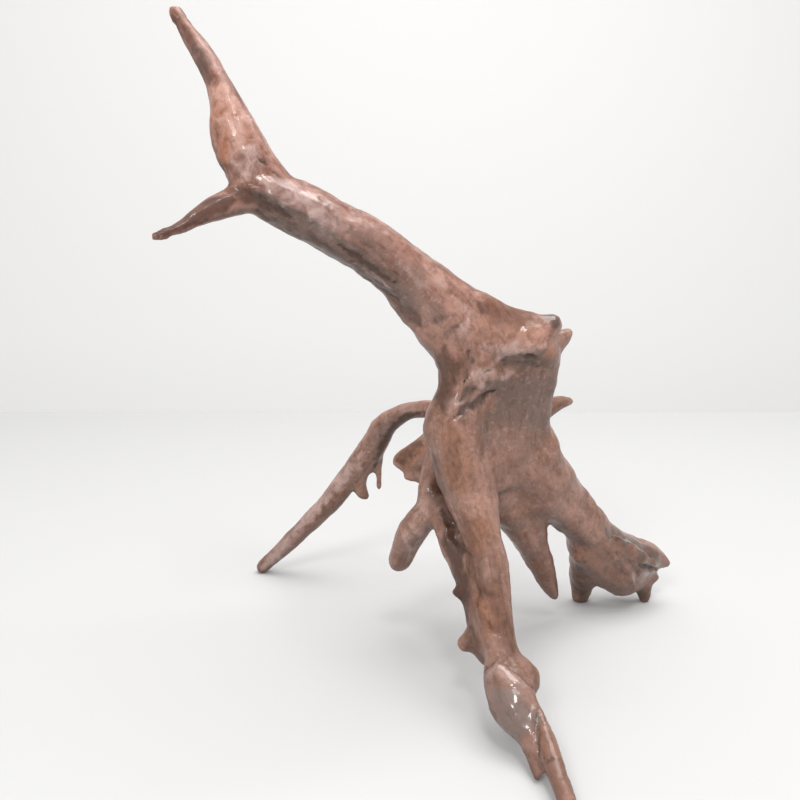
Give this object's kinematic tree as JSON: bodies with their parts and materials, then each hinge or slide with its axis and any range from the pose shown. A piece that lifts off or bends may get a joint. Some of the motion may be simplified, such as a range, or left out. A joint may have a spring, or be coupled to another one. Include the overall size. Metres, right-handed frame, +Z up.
{
  "type": "driftwood",
  "caption": "Leaning piece of water-worn root wood for an aquarium: a broad trunk on splayed roots, with a long arm that forks at its end.",
  "frame": {"origin": "middle of the base of the bounding box, on the surface that the piece stands on", "axes": "+Z up, +X to the right and -Y towards the viewer of the front; the long arm reaches to -X"},
  "size_m": [0.299, 0.2892, 0.3605],
  "materials": {
    "driftwood": "water-worn, barkless and faintly waxy, reddish brown with darker streaks"
  },
  "bodies": {
    "root": {"driftwood": "driftwood"}
  },
  "joints": []
}
